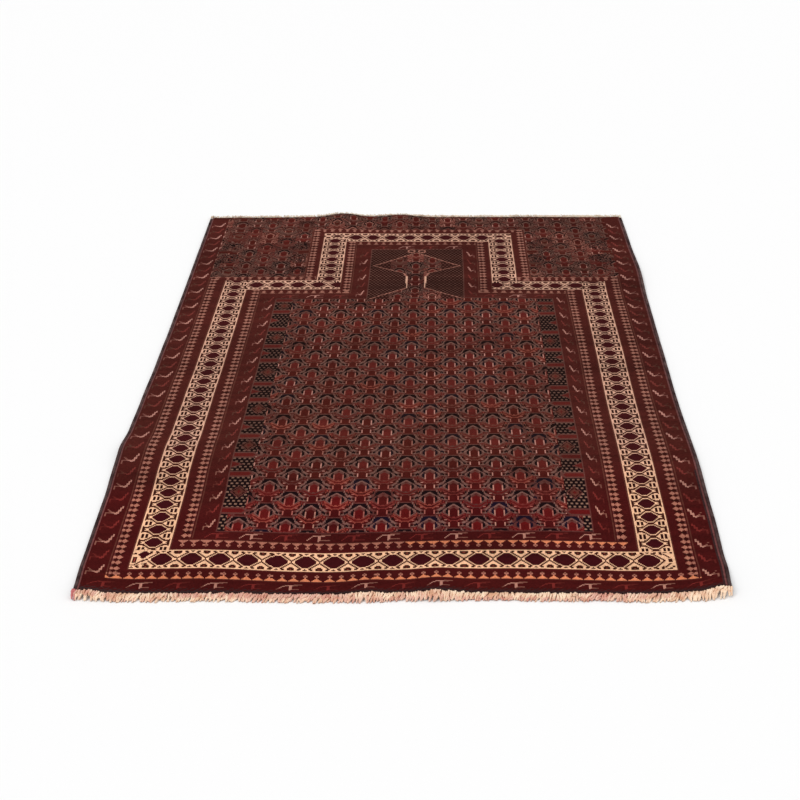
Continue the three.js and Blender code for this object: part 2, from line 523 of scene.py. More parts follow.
# The eight straight runs of a band between two nested outlines, near end first; each has its
# side of the rug, its rows and its columns
def runs(out, within):
    body = (out.bottom, out.shoulder)
    shoulder = (within.shoulder, out.shoulder)
    head = (within.shoulder, out.top)
    return [
        ("near", (out.bottom, within.bottom), (out.left, out.right)),
        ("left", body, (out.left, within.left)),
        ("right", body, (within.right, out.right)),
        ("far", shoulder, (out.left, within.head_left)),
        ("far", shoulder, (within.head_right, out.right)),
        ("left", head, (out.head_left, within.head_left)),
        ("right", head, (within.head_right, out.head_right)),
        ("far", (within.top, out.top), (out.head_left, out.head_right)),
    ]


# The ivory band with its red hexagons
def ivory_band(chart):
    out, within = IVORY_OUT, IVORY_IN
    depth = within.left - out.left

    def upright(rows, columns, phase, pitch):
        tile = mirrored(charted(IVORY_ALONG_HALF), columns[1] - columns[0], ALONG_REPEAT).T
        tiled(chart, tile, rows, columns, phase, columns[0], row_pitch=pitch)

    def level(rows, columns, phase, pitch):
        tile = mirrored(charted(IVORY_ACROSS_HALF), rows[1] - rows[0], ACROSS_REPEAT)
        tiled(chart, tile, rows, columns, rows[0], phase, column_pitch=pitch)

    shoulder_rows = (within.shoulder, out.shoulder)
    for columns in ((out.left, within.left), (within.right, out.right)):
        upright((out.bottom, out.shoulder), columns, *SIDE_HEXAGONS)
    level((out.bottom, within.bottom), (out.left, out.right), *NEAR_HEXAGONS)
    stamp(chart, charted(IVORY_CORNER), NEAR_CORNER_ROW, out.left)
    stamp(chart, charted(IVORY_RIGHT_CORNER), out.bottom, out.right - 9)
    level(shoulder_rows, (out.left + SHOULDER_INSET, within.head_left), *LEFT_SHOULDER_HEXAGONS)
    level(shoulder_rows, (within.head_right, out.right - SHOULDER_INSET), *RIGHT_SHOULDER_HEXAGONS)
    for columns in ((out.head_left, within.head_left), (within.head_right, out.head_right)):
        upright((HEAD_SIDE_HEXAGONS[0], out.top), columns, *HEAD_SIDE_HEXAGONS)
    level((within.top, out.top), (within.head_left, within.head_right), *HEAD_HEXAGONS)
    corners = ((out.head_left, LEFT_CORNER_HEXAGONS), (out.head_right - depth, RIGHT_CORNER_HEXAGONS))
    for left, hexagons in corners:
        level((HEAD_CORNER_ROW, out.top), (left, left + depth), *hexagons)


# A row of small trefoils standing on a line, which lies on the outer or the inner outline; the
# far runs have shorter ones
def teeth_band(chart, out, within, on_outer_line):
    along = charted(TEETH_ALONG)
    edge = out if on_outer_line else within
    for side, rows, columns in runs(out, within)[::-1]:
        grows_up = (side == "near") == on_outer_line
        grows_right = (side == "left") == on_outer_line
        across = charted(TEETH_ACROSS if side == "near" else SHORT_TEETH)
        depth_across, depth_along = across.shape[0], along.shape[1]
        if side in ("near", "far"):
            tile = across if grows_up else across[::-1]
            low = rows[0] if grows_up else rows[1] - depth_across
            span, phase, pitch = columns, *OUTER_TEETH
            if not on_outer_line and side == "near":
                span, phase, pitch = INNER_TEETH_SPAN, *INNER_TEETH
                fill(chart, (rows[0], rows[1] + 1), (out.left + 1, out.right - 1), "A")
            elif not on_outer_line:
                first = edge.left if columns[0] == out.left else edge.head_right
                last = edge.right if columns[1] == out.right else edge.head_left
                span = (first, last) if first < last else (edge.head_left, edge.head_right)
            tiled(chart, tile, (low, low + depth_across), span, low, phase, column_pitch=pitch)
            if side == "near" and not on_outer_line:
                dull = np.where(tile == yarn("t"), yarn("u"), tile)
                span = (span[0], COLUMNS // 2)
                tiled(chart, dull, (low, low + depth_across), span, low, phase, column_pitch=pitch)
        else:
            tile = along if grows_right else along[:, ::-1]
            low = columns[0] if grows_right else columns[1] - depth_along
            tiled(chart, tile, rows, (low, low + depth_along), 0, low)


# Birds, or leaves, one behind the other along a guard stripe, in turn bright and dim; along the
# sides the places are those where a bird's strokes meet
def guard_run(chart, side, rows, columns, motif, first, pitch, first_dim=False):
    bright = charted(motif)
    dim = np.where(bright == yarn("b"), yarn("e"), np.where(bright == yarn("a"), yarn("l"), bright))
    upright = side in ("left", "right")
    last = rows[1] if upright else columns[1]
    meeting_row = 6
    kept = np.round(np.linspace(0, bright.shape[1] - 1, columns[1] - columns[0])).astype(int)
    for n in range(COLUMNS):
        place = first + pitch * n - (SIDE_BIRDS_CLOSER * n * n if upright else 0)
        if place > last - pitch * 0.7:
            return
        bird = dim if (n % 2 == 0) == first_dim else bright
        if upright:
            bird = bird[:, kept] if side == "left" else bird[:, kept][:, ::-1]
            stamp(chart, bird, round(place) - meeting_row, columns[0])
        else:
            stamp(chart, bird, (rows[0] + rows[1] - bird.shape[0]) // 2, round(place))


def guards(chart):
    guard_run(chart, "left", (0, ROWS), (1, 13), SIDE_BIRD, *OUTER_LEFT_BIRDS)
    guard_run(chart, "right", (0, ROWS), (433, 442), SIDE_BIRD, *OUTER_RIGHT_BIRDS)
    rows = (4, OUTER_LINE.bottom - 1)
    guard_run(chart, "near", rows, (5, COLUMNS), OUTER_BIRD, *OUTER_NEAR_BIRDS, True)
    for side, rows, columns in runs(GUARD, FIELD):
        if side in ("left", "right"):
            low = columns[0] + (4 if side == "left" else 5)
            first = rows[0] + 12 if rows[0] > ROWS / 2 else INNER_SIDE_FIRST[side]
            birds = (SIDE_BIRD, first, INNER_SIDE_STEP)
            guard_run(chart, side, rows, (low, low + 9), *birds, side == "right")
        elif side == "near":
            guard_run(chart, side, rows, (78, columns[1]), INNER_BIRD, *INNER_NEAR_BIRDS, True)
        else:
            guard_run(chart, side, rows, columns, INNER_BIRD, columns[0] + 20, INNER_FAR_STEP, True)


# Dark wool along the near end; just inside each side a mauve line, and on the right, near the
# near end, dark wool within it
def side_lines(chart):
    row, column = KNOTS
    speckled = (row < SPECKLED_ROWS) & ((row * 7 + column * 5 + column // 3) % 3 == 0)
    chart[(row < DARK_ROWS) | speckled] = yarn("g")
    fill(chart, (0, ROWS), (0, 1), "w")
    fill(chart, (0, RIGHT_DARK_ROWS), (COLUMNS - 2, COLUMNS - 1), "g")
    fill(chart, (0, ROWS), (COLUMNS - 1, COLUMNS), "w")


# A thin line of one yarn, just outside a nested outline or just inside it
def outlined(chart, band, letter, kept_inside=False):
    whole = inside(band) ^ kept_inside
    padded = np.pad(whole, 1, mode="edge")
    near = np.zeros_like(whole)
    for low_row in range(3):
        for low_column in range(3):
            near |= padded[low_row:low_row + ROWS, low_column:low_column + COLUMNS]
    chart[near & ~whole] = yarn(letter)


# Flowers in a half-drop lattice; each takes its own choice of yarns for some of its parts
def flowers(chart, mask, middles, first_row, pitch, random, half=FLOWER_HALF):
    side = charted(half)
    flower = np.hstack([side[:, ::-1], side])
    height, width = flower.shape
    choices = FLOWER_YARNS if half is FLOWER_HALF else SPANDREL_YARNS
    for n, middle in enumerate(middles):
        start = first_row + (n % 2) * (pitch // 2 + 1) - pitch
        for top in range(start, ROWS + height, pitch):
            made = flower.copy()
            for letter, letters in choices.items():
                made[flower == yarn(letter)] = yarn(random.choice(list(letters)))
            stamp(chart, made, top - height + 1, middle - width // 2, mask)


# Camel dots on dark wool, in rows that are set over by half a step
def dotted(chart, mask, step_columns, step_rows, dot_columns, dot_rows, letter, ground="K"):
    row, column = KNOTS
    over = (row // step_rows) % 2 * (step_columns // 2)
    dot = ((column + over) % step_columns < dot_columns) & (row % step_rows < dot_rows)
    chart[mask] = yarn(ground)
    chart[mask & dot] = yarn(letter)


# How many columns in from an edge each knot lies
def columns_in(edge, from_left):
    return KNOTS[1] - edge if from_left else edge - 1 - KNOTS[1]


# What grows in from a side of the field: pointed red bars, with wedges or lozenges between them
def field_side(chart, bars, edge, from_left, reach=20):
    row = KNOTS[0]
    inward = columns_in(edge, from_left)
    for n, (low, high) in enumerate(zip(bars[:-1], bars[1:])):
        from_middle = np.abs(row - (low + high) / 2)
        if n % 2:
            place = from_middle * 1.7 + inward
            shapes = ((8.5, "m"), (6, "R"))
        else:
            place = from_middle / min((high - low) / 2 - 4, 9) + np.abs(inward - 9) / 7
            shapes = ((1, "m"), (0.8, "s"), (0.62, "n"), (0.25, "R"))
        for most, letter in shapes:
            chart[(inward >= 0) & (place < most)] = yarn(letter)
    for middle in bars:
        away = np.abs(row - middle)
        bar = (inward >= 0) & (away <= 4) & (inward + away * 1.2 < reach)
        chart[bar] = yarn("m")
        chart[bar & (away <= 2) & (inward + away * 1.2 < reach - 3)] = yarn("R")


# What grows in from a side of a spandrel: one short red bar, with darker wool before and after it
def spandrel_side(chart, edge, from_left, random):
    inward = columns_in(edge, from_left)
    away = np.abs(KNOTS[0] - SPANDREL_BAR_ROW)
    dark = (inward >= 2) & (inward < 22 - np.abs(away - 14) * 0.7) & (away > 5) & (away < 27)
    fleck = random.random(chart.shape)
    for least, letter in ((0.25, "K"), (0.68, "m"), (0.9, "c")):
        chart[dark & (fleck > least)] = yarn(letter)
    bar = (inward >= 0) & (away <= 3) & (inward + away < 13)
    chart[bar] = yarn("l")
    chart[bar & (away <= 2)] = yarn("D")


# The panel in the head: dotted ground and an outlined hourglass with two loops on top
def head_panel(chart, random):
    row, column = KNOTS
    panel = inside(FIELD) & (row >= PANEL_BOTTOM)
    panel &= (column >= FIELD.head_left) & (column < FIELD.head_right)
    dotted(chart, panel, 4, 3, 2, 1, "c", "s")
    half = np.interp(row, *zip(*HOURGLASS))
    from_middle = np.abs(column + 0.5 - PANEL_MIDDLE)
    glass = panel & (from_middle < half)
    dotted(chart, glass, 4, 4, 2, 2, "m", "s")
    flowers(chart, glass, HEAD_FLOWER_MIDDLES, *HEAD_FLOWERS, random, SPANDREL_HALF)
    neck = (row > NECK_ROWS[0]) & (row < NECK_ROWS[1])
    line = panel & (np.abs(from_middle - half) < np.where(neck, 0.8, 1.0))
    chart[line & ~neck & (row < HOURGLASS[-1][0])] = yarn("u")
    chart[line & neck] = yarn("i")
    aside, loop_row, radius = LOOPS
    for side in (-1, 1):
        away = np.hypot(column + 0.5 - PANEL_MIDDLE - side * aside, row + 0.5 - loop_row)
        chart[panel & (np.abs(away - radius) < 0.8)] = yarn("u")


# The whole rug's chart
def rug_chart(random):
    chart = np.full((ROWS, COLUMNS), yarn("A"))
    row, column = KNOTS

    upper = (row >= OUTER_LINE.shoulder) & ~inside(OUTER_LINE)
    upper &= (column >= OUTER_LINE.left) & (column < OUTER_LINE.right)
    dotted(chart, upper, 4, 4, 2, 2, "m", "s")
    middles = [12 + round(FLOWER_STEP * k) for k in range(25)]
    flowers(chart, upper, middles, *SPANDREL_FLOWERS, random, SPANDREL_HALF)
    for edge, from_left in SPANDREL_EDGES:
        spandrel_side(chart, edge, from_left, random)

    inner = inside(FIELD)
    dotted(chart, inner, 4, 4, 2, 2, "d")
    middles = [FIELD.left + 14 + round(FLOWER_STEP * k) for k in range(15)]
    main = inner & (column >= middles[1] - 15) & (column < middles[-2] + 15)
    main |= inner & (row < FIELD.bottom + 22)
    flowers(chart, main, middles, *FIELD_FLOWERS, random)
    field_side(chart, LEFT_BARS, FIELD.left, True)
    field_side(chart, RIGHT_BARS, FIELD.right, False)
    head_panel(chart, random)

    teeth_band(chart, OUTER_LINE, IVORY_OUT, True)
    teeth_band(chart, IVORY_IN, GUARD, False)
    ivory_band(chart)
    guards(chart)
    side_lines(chart)
    outlined(chart, IVORY_OUT, "n")
    outlined(chart, IVORY_IN, "n", kept_inside=True)
    outlined(chart, FIELD, "m")
    return chart


def smoothed(share):
    return share * share * (3 - 2 * share)


# Soft values between the rows of a grid
def softened(grid, count):
    at = np.linspace(0, len(grid) - 1, count)
    low = np.minimum(at.astype(int), len(grid) - 2)
    share = smoothed(at - low)[:, None]
    return grid[low] * (1 - share) + grid[low + 1] * share


# Even noise from -1 to 1 with soft cells of a given size
def soft_noise(shape, cell_rows, cell_columns, random):
    rows = max(2, int(shape[0] / cell_rows) + 2)
    columns = max(2, int(shape[1] / cell_columns) + 2)
    grid = random.uniform(-1, 1, (rows, columns))
    return softened(softened(grid.T, shape[1]).T, shape[0])


# Height of the underside above the floor
def lift_at(x, y):
    lift = -LEAST_LIFT
    for middle_x, middle_y, reach_x, reach_y, height in RIPPLES:
        across = (x / MM - middle_x) / reach_x
        along = (y / MM - middle_y) / reach_y
        lift = lift + height * np.exp(-across * across - along * along)
    return np.maximum(0, lift) * MM


# A table's value between its rows, eased so that the edge has no corners
def eased(table, at):
    places, values = np.array(table, float).T
    at = np.clip(np.asarray(at, float) / MM, places[0], places[-1])
    low = np.clip(np.searchsorted(places, at, side="right") - 1, 0, len(places) - 2)
    share = smoothed((at - places[low]) / (places[low + 1] - places[low]))
    return (values[low] + (values[low + 1] - values[low]) * share) * MM


# Where a point of the straight weave lies; across and along run from -1 to 1
def placed(across, along):
    x = across * HALF_WIDTH
    y = along * HALF_LENGTH
    side = np.where(across < 0, -eased(LEFT_EDGE, y), eased(RIGHT_EDGE, y))
    end = np.where(along < 0, -eased(NEAR_END, x), eased(FAR_END, x))
    spread = np.clip((np.abs(x) - EDGE_SPREAD_FROM) / (HALF_WIDTH - EDGE_SPREAD_FROM), 0, 1)
    spread = spread * EDGE_SPREAD * np.sign(x)
    return x + side * np.abs(across) + spread, y + end * np.abs(along)


# How far the weave is moved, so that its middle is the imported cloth's
def weave_shift():
    low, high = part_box("rug_body")
    across, along = np.meshgrid(np.linspace(-1, 1, 33), np.linspace(-1, 1, 45))
    x, y = placed(across, along)
    return (low.x + high.x - x.min() - x.max()) / 2, (low.y + high.y - y.min() - y.max()) / 2


SHIFT_X, SHIFT_Y = weave_shift()


# A distance by row, times its share by column
def crept(row, column, by_row, by_column):
    return np.interp(row, *zip(*by_row)) * np.interp(column, *zip(*by_column))


# Points of the cloth at these knot columns and rows, at a height above its underside
def cloth_points(columns, rows, height):
    column, row = np.meshgrid(columns, rows)
    creep = crept(row, column, DRIFT_BY_ROW, DRIFT_BY_COLUMN)
    creep += crept(row, column, RIGHT_DRIFT_BY_ROW, RIGHT_DRIFT_BY_COLUMN)
    across = 2 * column / COLUMNS - 1 + creep * MM / HALF_WIDTH
    nearer = crept(row, column, CREEP_BY_ROW, CREEP_BY_COLUMN)
    nearer += crept(row, column, SHOULDER_BY_ROW, SHOULDER_BY_COLUMN)
    along = 2 * (row - nearer) / ROWS - 1
    x, y = placed(across, along)
    z = lift_at(across * HALF_WIDTH, along * HALF_LENGTH) + height
    return np.stack([x + SHIFT_X, y + SHIFT_Y, z], axis=-1)


# The faces between the points of a grid, from the grid of their numbers
def cells(index):
    corners = [index[:-1, :-1], index[:-1, 1:], index[1:, 1:], index[1:, :-1]]
    return np.stack([corner.ravel() for corner in corners], axis=1)


# A grid of point numbers
def numbered(*shape):
    return np.arange(math.prod(shape)).reshape(shape)


# A wall between two rows of points
def wall_quads(foot, rim, turned):
    wall = [foot[:-1], foot[1:], rim[1:], rim[:-1]]
    return np.stack(wall[::-1] if turned else wall, axis=1)


# Values as one flat run of numbers
def packed(values, kind=np.float32):
    return np.ascontiguousarray(values, kind).ravel()


def linked(name, data):
    made = bpy.data.objects.new(name, data)
    bpy.context.scene.collection.objects.link(made)
    return made


def made_mesh(name, points, quads, material, smooth=True):
    mesh = bpy.data.meshes.new(name)
    mesh.vertices.add(len(points))
    mesh.vertices.foreach_set("co", packed(points))
    mesh.loops.add(quads.size)
    mesh.loops.foreach_set("vertex_index", packed(quads, np.int32))
    mesh.polygons.add(len(quads))
    mesh.polygons.foreach_set("loop_start", np.arange(0, quads.size, quads.shape[1], dtype=np.int32))
    mesh.polygons.foreach_set("use_smooth", np.full(len(quads), smooth))
    mesh.update(calc_edges=True)
    mesh.validate()
    mesh.materials.append(material)
    return linked(name, mesh)


def face_values(piece, name, values):
    attribute = piece.data.attributes.new(name, "FLOAT", "FACE")
    attribute.data.foreach_set("value", packed(values))


# Each face's values, from the knot that it belongs to
def knot_values(piece, knots, row, column):
    for name, values in knots.items():
        face_values(piece, name, values[row, column])


# A map that lays the piece flat on a square, with a rim for its walls
def flat_map(piece, points, rim=0.004):
    low = points[:, :2].min(axis=0)
    high = points[:, :2].max(axis=0)
    places = rim + (1 - 2 * rim) * (points[:, :2] - low) / (high - low)
    corner = np.zeros(len(piece.data.loops), np.int32)
    piece.data.loops.foreach_get("vertex_index", corner)
    layer = piece.data.uv_layers.new(name="OFBake")
    layer.uv.foreach_set("vector", packed(places[corner]))


# A colour from 0 to 255, as light
def linear(colour):
    values = [v / 255 for v in colour]
    return [v / 12.92 if v <= 0.04045 else ((v + 0.055) / 1.055) ** 2.4 for v in values] + [1]


def new_material(name, roughness):
    material = bpy.data.materials.new(name)
    material.use_nodes = True
    shader = material.node_tree.nodes["Principled BSDF"]
    shader.inputs["Roughness"].default_value = roughness
    shader.inputs["Specular IOR Level"].default_value = 0.03
    return material, material.node_tree, shader


def attribute(tree, name):
    node = tree.nodes.new("ShaderNodeAttribute")
    node.attribute_name = name
    return node.outputs["Fac"]


def set_inputs(tree, sockets, values):
    for socket, value in zip(sockets, values):
        if isinstance(value, bpy.types.NodeSocket):
            tree.links.new(value, socket)
        else:
            socket.default_value = value


def math_node(tree, operation, *values):
    node = tree.nodes.new("ShaderNodeMath")
    node.operation = operation
    set_inputs(tree, node.inputs, values)
    return node.outputs[0]


def mix_colour(tree, kind, *values):
    node = tree.nodes.new("ShaderNodeMix")
    node.data_type = "RGBA"
    node.blend_type = kind
    set_inputs(tree, (node.inputs[0], node.inputs[6], node.inputs[7]), values)
    return node.outputs[2]


# Noise that stays with the piece
def noise(tree, scale, detail):
    node = tree.nodes.new("ShaderNodeTexNoise")
    node.inputs["Scale"].default_value = scale
    node.inputs["Detail"].default_value = detail
    place = tree.nodes.new("ShaderNodeTexCoord").outputs["Object"]
    tree.links.new(place, node.inputs["Vector"])
    return node.outputs["Fac"]


# A ramp that gives each yarn its colour; which is 1 for the near dye lot and 2 for the later colours, a
# later dye lot with painted sheen mixed in
def dye_and_sheen_ramp(tree, factor, which):
    node = tree.nodes.new("ShaderNodeValToRGB")
    ramp = node.color_ramp
    ramp.interpolation = "CONSTANT"
    for n, yarn_colours in enumerate(YARNS):
        position = n / len(YARNS)
        element = ramp.elements[n] if n < 2 else ramp.elements.new(position)
        element.position = position
        element.color = linear(yarn_colours[which])
    tree.links.new(factor, node.inputs[0])
    return node.outputs[0]


# Patches of two colours, blended between two values of noise
def mottled(tree, scale, detail, places, colours):
    node = tree.nodes.new("ShaderNodeValToRGB")
    for element, place, colour in zip(node.color_ramp.elements, places, colours):
        element.position = place
        element.color = linear(colour)
    tree.links.new(noise(tree, scale, detail), node.inputs[0])
    return node.outputs[0]


# A surface's colour and the relief of its fibres
def surface(tree, shader, colour, height, strength, distance):
    tree.links.new(colour, shader.inputs["Base Color"])
    node = tree.nodes.new("ShaderNodeBump")
    node.inputs["Strength"].default_value = strength
    node.inputs["Distance"].default_value = distance
    tree.links.new(height, node.inputs["Height"])
    tree.links.new(node.outputs[0], shader.inputs["Normal"])


# Knotted wool: each knot has its yarn's colour, mixed between the near dye lot and the later colours,
# which carry painted sheen as well as a later dye lot, and toned by hand spinning
def wool_material(name, tone_gain, bump_strength):
    material, tree, shader = new_material(name, roughness=0.95)
    factor = math_node(tree, "DIVIDE", attribute(tree, "yarn"), len(YARNS))
    near = dye_and_sheen_ramp(tree, factor, 1)
    later_lot_with_sheen = dye_and_sheen_ramp(tree, factor, 2)
    # The later ramp's colours carry painted sheen as well as a later dye lot
    dye_and_sheen = mix_colour(tree, "MIX", attribute(tree, "dye_lot_and_sheen"), near, later_lot_with_sheen)
    spread = math_node(tree, "MULTIPLY_ADD", noise(tree, 900, 3), 0.5, 0.75)
    toned = math_node(tree, "MULTIPLY_ADD", attribute(tree, "tone"), tone_gain, 1.0)
    both = math_node(tree, "MULTIPLY", toned, spread)
    grey = tree.nodes.new("ShaderNodeCombineColor")
    for socket in grey.inputs:
        tree.links.new(both, socket)
    colour = mix_colour(tree, "MULTIPLY", 1.0, dye_and_sheen, grey.outputs[0])
    surface(tree, shader, colour, noise(tree, 1400, 2), bump_strength, 0.8 * MM)
    return material


# The pile's height at the corners of its knots; the dark wool is worn lower
def pile_heights(chart, random):
    height = np.full((ROWS + 1, COLUMNS + 1), THICKNESS)
    worn = np.where(chart == yarn("K"), DARK_WOOL_RISE, 0) + np.where(chart == yarn("i"), IVORY_RISE, 0)
    padded = np.pad(worn, 1, mode="edge")
    corners = (padded[:-1, :-1] + padded[1:, :-1] + padded[:-1, 1:] + padded[1:, 1:]) / 4
    height += corners * MM
    height += soft_noise(height.shape, 16, 22, random) * PILE_SWELL * MM
    height += random.uniform(-TUFT_SWELL, TUFT_SWELL, height.shape) * MM
    return height


def pile_sections(knots, heights, material):
    pieces = []
    cuts = [round(COLUMNS * k / PILE_SECTIONS) for k in range(PILE_SECTIONS + 1)]
    names = ["pile_left", "pile_middle_left", "pile_middle_right", "pile_right"]
    for name, first, last in zip(names, cuts[:-1], cuts[1:]):
        columns = np.arange(first, last + 1)
        rows = np.arange(ROWS + 1)
        top = cloth_points(columns, rows, heights[:, first:last + 1])
        points = [top.reshape(-1, 3)]
        index = numbered(*top.shape[:2])
        low = cloth_points(columns, rows, FOUNDATION - 0.2 * MM)
        rims = [(index[0], low[0], False), (index[-1], low[-1], True)]
        if first == 0:
            rims.append((index[:, 0], low[:, 0], True))
        if last == COLUMNS:
            rims.append((index[:, -1], low[:, -1], False))
        owners = [np.stack(np.mgrid[0:ROWS, first:last], axis=-1).reshape(-1, 2)]
        faces = [cells(index)]
        start = index.size
        for rim, foot, turned in rims:
            foot_index = start + np.arange(len(foot))
            start += len(foot)
            points.append(foot)
            faces.append(wall_quads(foot_index, rim, turned))
            rim_row, rim_column = np.divmod(np.minimum(rim[:-1], rim[1:]), len(columns))
            rim_row = np.minimum(rim_row, ROWS - 1)
            rim_column = np.minimum(rim_column + first, COLUMNS - 1)
            owners.append(np.stack([rim_row, rim_column], axis=1))
        points = np.concatenate(points)
        owner_row, owner_column = np.concatenate(owners).T
        piece = made_mesh(name, points, np.concatenate(faces), material)
        knot_values(piece, knots, owner_row, owner_column)
        flat_map(piece, points)
        pieces.append(piece)
    return pieces


# The woven foundation, whose underside shows each knot's back, three knots to a face
def foundation(knots, material):
    step = 3
    columns = np.arange(0, COLUMNS + 1, step)
    rows = np.arange(0, ROWS + 1, step)
    under = cloth_points(columns, rows, 0.0)
    over = cloth_points(columns, rows, FOUNDATION)
    index = numbered(*under.shape[:2])
    count = index.size
    faces = [cells(index)[:, ::-1], cells(index + count)]
    rims = ((index[0], False), (index[-1], True), (index[:, 0], True), (index[:, -1], False))
    for rim, turned in rims:
        faces.append(wall_quads(rim, rim + count, turned))
    points = np.concatenate([under.reshape(-1, 3), over.reshape(-1, 3)])
    quads = np.concatenate(faces)
    piece = made_mesh("foundation", points, quads, material, smooth=False)
    corner = (quads % count).min(axis=1)
    owner_row = np.minimum(corner // len(columns) * step + 1, ROWS - 1)
    owner_column = np.minimum(corner % len(columns) * step + 1, COLUMNS - 1)
    knot_values(piece, knots, owner_row, owner_column)
    return piece


# The faces round tubes, from the numbers of their points, ring by ring
def tube_faces(index):
    here, there = index[..., :-1, :], index[..., 1:, :]
    corners = [here, there, np.roll(there, -1, axis=-1), np.roll(here, -1, axis=-1)]
    return np.stack(corners, axis=-1).reshape(-1, 4)


# Tubes along rows of points; lobes rise and turn along the tube like the plies of a yarn
def tubes(paths, radii, sides, lobes, depth, turns):
    count, length = paths.shape[:2]
    along = np.gradient(paths, axis=1)
    along /= np.linalg.norm(along, axis=2, keepdims=True) + 1e-12
    aside = np.cross(along, np.array([0.0, 0.0, 1.0]))
    aside /= np.linalg.norm(aside, axis=2, keepdims=True) + 1e-12
    up = np.cross(aside, along)
    angle = np.linspace(0, 2 * math.pi, sides, endpoint=False)
    turn = np.linspace(0, 1, length) * 2 * math.pi * turns[:, None]
    reach = 1 + depth * np.cos(lobes * (angle - turn[:, :, None]))
    reach = (reach * radii[:, :, None])[..., None]
    ring = aside[:, :, None, :] * (np.cos(angle)[:, None] * reach)
    ring = ring + up[:, :, None, :] * (np.sin(angle)[:, None] * reach)
    points = (paths[:, :, None, :] + ring).reshape(-1, 3)
    return points, tube_faces(numbered(count, length, sides))


# One fringe: a narrow woven strip and, over and beyond it, layers of plump two-ply warp ends;
# the first few at the near left are the pink yarn that binds the corner
def fringe(name, side, layers, random, material):
    steps, sides = 9, 6
    parts = []
    stains = []
    widest = 1 + (GAP + SELVEDGE_WIDTH * 0.9) / HALF_WIDTH
    for strands, shortest, longest, thin, thick, rise in layers:
        across = ((np.arange(strands) + 0.5) / strands * 2 - 1) * widest
        across = across + random.uniform(-0.35, 0.35, strands) / strands
        clump = soft_noise((1, strands), 1, 4, random)[0]
        length = shortest + (longest - shortest) * random.beta(2, 1.6, strands)
        length *= 1 + 0.12 * soft_noise((1, strands), 1, 14, random)[0]
        share = np.linspace(0, 1, steps)
        out = share * length[:, None]
        lean = (clump[:, None] * 3.5 - 3.5) * MM * share
        lean = lean + random.uniform(-3.5, 3.5, (strands, 1)) * MM * share ** 1.3
        curl = random.uniform(-1, 1, (strands, 1)) * np.sin(share * random.uniform(3, 7, (strands, 1)))
        lean = lean + curl * 1.4 * MM * share
        lean = np.where(np.abs(across) > 1, 0.2, 1)[:, None] * lean
        edge_x, edge_y = placed(across[:, None], side)
        root = lift_at(across * HALF_WIDTH, side * HALF_LENGTH)[:, None]
        radius = random.uniform(thin, thick, (strands, 1))
        radii = radius * (1 - 0.3 * share ** 4) * (0.8 + 0.2 * np.sin(share * math.pi))
        height = rise * random.uniform(0.6, 1.2, (strands, 1))
        fall = np.cos(np.clip(out / (longest * 0.9), 0, 1) * math.pi / 2) ** 0.8
        x = edge_x + lean + SHIFT_X
        y = edge_y + side * (GAP + radius + out) + SHIFT_Y
        z = (root + height) * fall + radii * 1.2
        paths = np.stack([x, y, z], axis=-1)
        turns = random.uniform(1, 2.4, strands)
        parts.append(tubes(paths, radii, sides, lobes=2, depth=0.26, turns=turns))
        patchy = soft_noise((1, strands), 1, 30, random)[0] * 0.5 + random.uniform(-0.25, 0.25, strands)
        stain = np.clip(patchy, 0, 0.5 if side < 0 else 0.12)
        stain = np.where((across < -1) & (side < 0), 1.0, stain)
        stains.append(np.repeat(stain, (steps - 1) * sides))
    parts.append(strip(side))
    stains.append(np.zeros(len(parts[-1][1])))
    points, quads = [], []
    start = 0
    for part_points, part_quads in parts:
        points.append(part_points)
        quads.append(part_quads + start)
        start += len(part_points)
    piece = made_mesh(name, np.concatenate(points), np.concatenate(quads), material)
    face_values(piece, "stain", np.concatenate(stains))
    return piece


# The plain-woven strip between pile and fringe, ribbed by its warps
def strip(side):
    columns = np.arange(0, COLUMNS + 0.5, 0.5)
    across = 2 * columns / COLUMNS - 1
    edge_x, edge_y = placed(across, side)
    lift = lift_at(across * HALF_WIDTH, side * HALF_LENGTH)
    rib = 0.22 * MM * (np.arange(len(columns)) % 2)
    section = [(0.0, 0.0), (0.0, 2.0), (1.2, 2.3), (2.6, 2.1), (4.0, 1.5), (4.0, 0.0)]
    rings = []
    for out, up in section:
        y = edge_y + side * (GAP + out * MM)
        z = lift + up * MM + (rib if up > 0 else 0)
        rings.append(np.stack([edge_x + SHIFT_X, y + SHIFT_Y, z], axis=-1))
    points = np.concatenate(rings)
    index = numbered(len(section), len(columns))
    quads = cells(np.vstack([index, index[:1]]))
    return points, quads if side < 0 else quads[:, ::-1]


# One selvedge: two cords side by side, wrapped round and round with goat hair
def selvedge(name, side, random, material):
    sides, rings_per_wrap, wrap = 16, 3, 2.4 * MM
    count = int(2 * HALF_LENGTH / wrap) * rings_per_wrap
    along = np.linspace(-1, 1, count)
    edge_x, edge_y = placed(side, along)
    lift = lift_at(side * HALF_WIDTH, along * HALF_LENGTH)
    angle = np.linspace(0, 2 * math.pi, sides, endpoint=False)
    wraps = np.arange(count)[:, None] / rings_per_wrap
    wobble = soft_noise((1, count), 1, 9, random)[0][:, None]
    ridge = np.cos(2 * math.pi * (wraps + wobble * 0.35) + angle)
    swell = 1 + 0.07 * ridge + 0.05 * soft_noise((1, count), 1, 40, random)[0][:, None]
    swell = swell + random.uniform(-0.02, 0.02, (count, sides))
    groove = 1 - 0.3 * np.exp(-(np.cos(angle) / 0.25) ** 2)
    half_wide = SELVEDGE_WIDTH / 2
    half_high = SELVEDGE_HEIGHT / 2
    x = edge_x[:, None] + side * (GAP + half_wide) + np.cos(angle) * half_wide * swell * 0.92
    z = lift[:, None] + half_high + np.sin(angle) * half_high * swell * groove
    z = np.maximum(z, lift[:, None])
    y = np.repeat(edge_y[:, None], sides, axis=1)
    points = np.stack([x + SHIFT_X, y + SHIFT_Y, z], axis=-1).reshape(-1, 3)
    # Each face starts at its second corner, which sets the way that it is split
    quads = np.roll(tube_faces(numbered(count, sides)), -1, axis=1)
    return made_mesh(name, points, quads, material)


